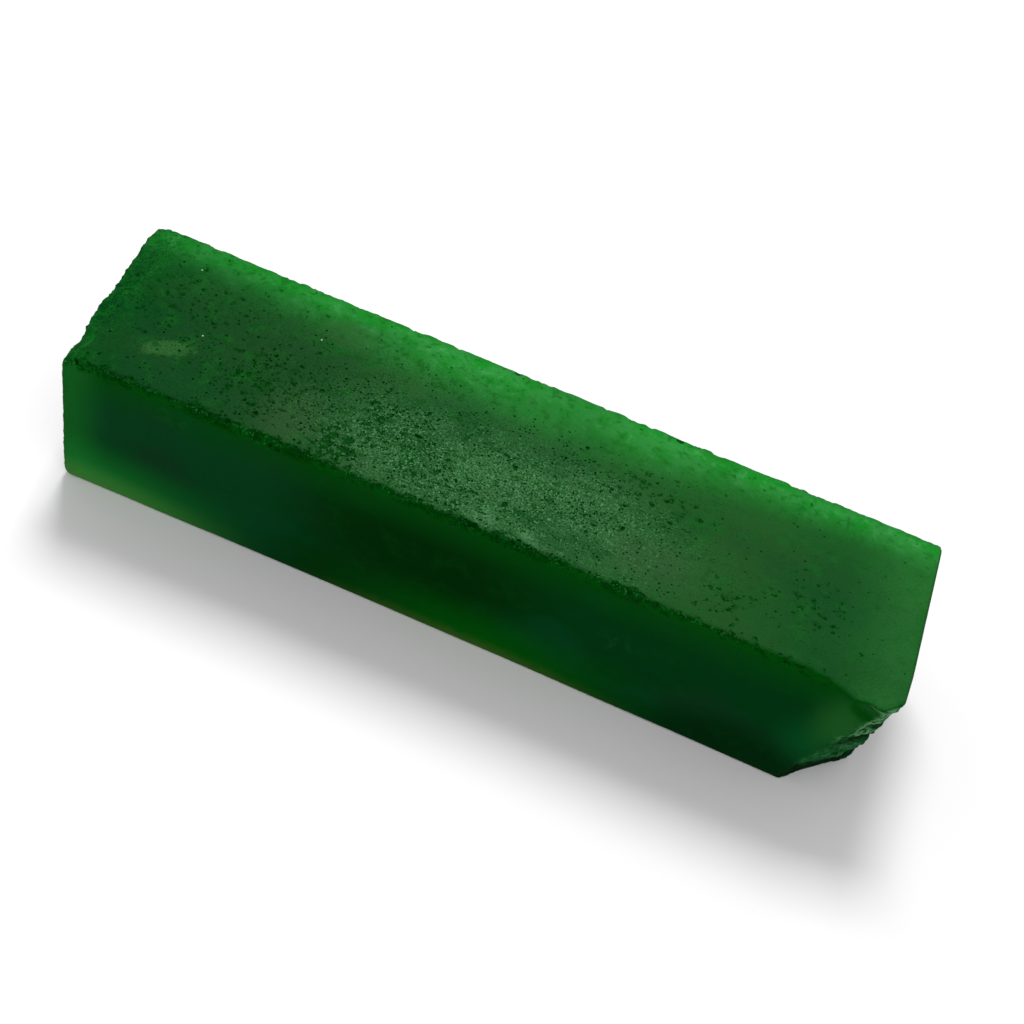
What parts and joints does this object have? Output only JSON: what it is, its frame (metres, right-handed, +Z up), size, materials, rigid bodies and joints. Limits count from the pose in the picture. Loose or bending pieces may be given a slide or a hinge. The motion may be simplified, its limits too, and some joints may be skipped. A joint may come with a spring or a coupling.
{
  "type": "raw emerald",
  "caption": "Raw emerald bar: a sawn, cloudy green rectangular stone with pitted matt top, one rough end and a broken corner, lying flat.",
  "frame": {"origin": "middle of the bar's footprint, on the surface that its sawn underside lies on", "axes": "+X along the bar towards the broken corner's end, +Y to the back long side, +Z up through the pitted top"},
  "size_m": [0.0708, 0.0177, 0.0138],
  "materials": {
    "emerald_stone": "cloudy translucent deep green stone; frosted, finely pitted sawn top, smoother dark long sides, glittering broken rim and ledged break"
  },
  "bodies": {
    "root": {"raw_emerald": "emerald_stone"}
  },
  "joints": []
}
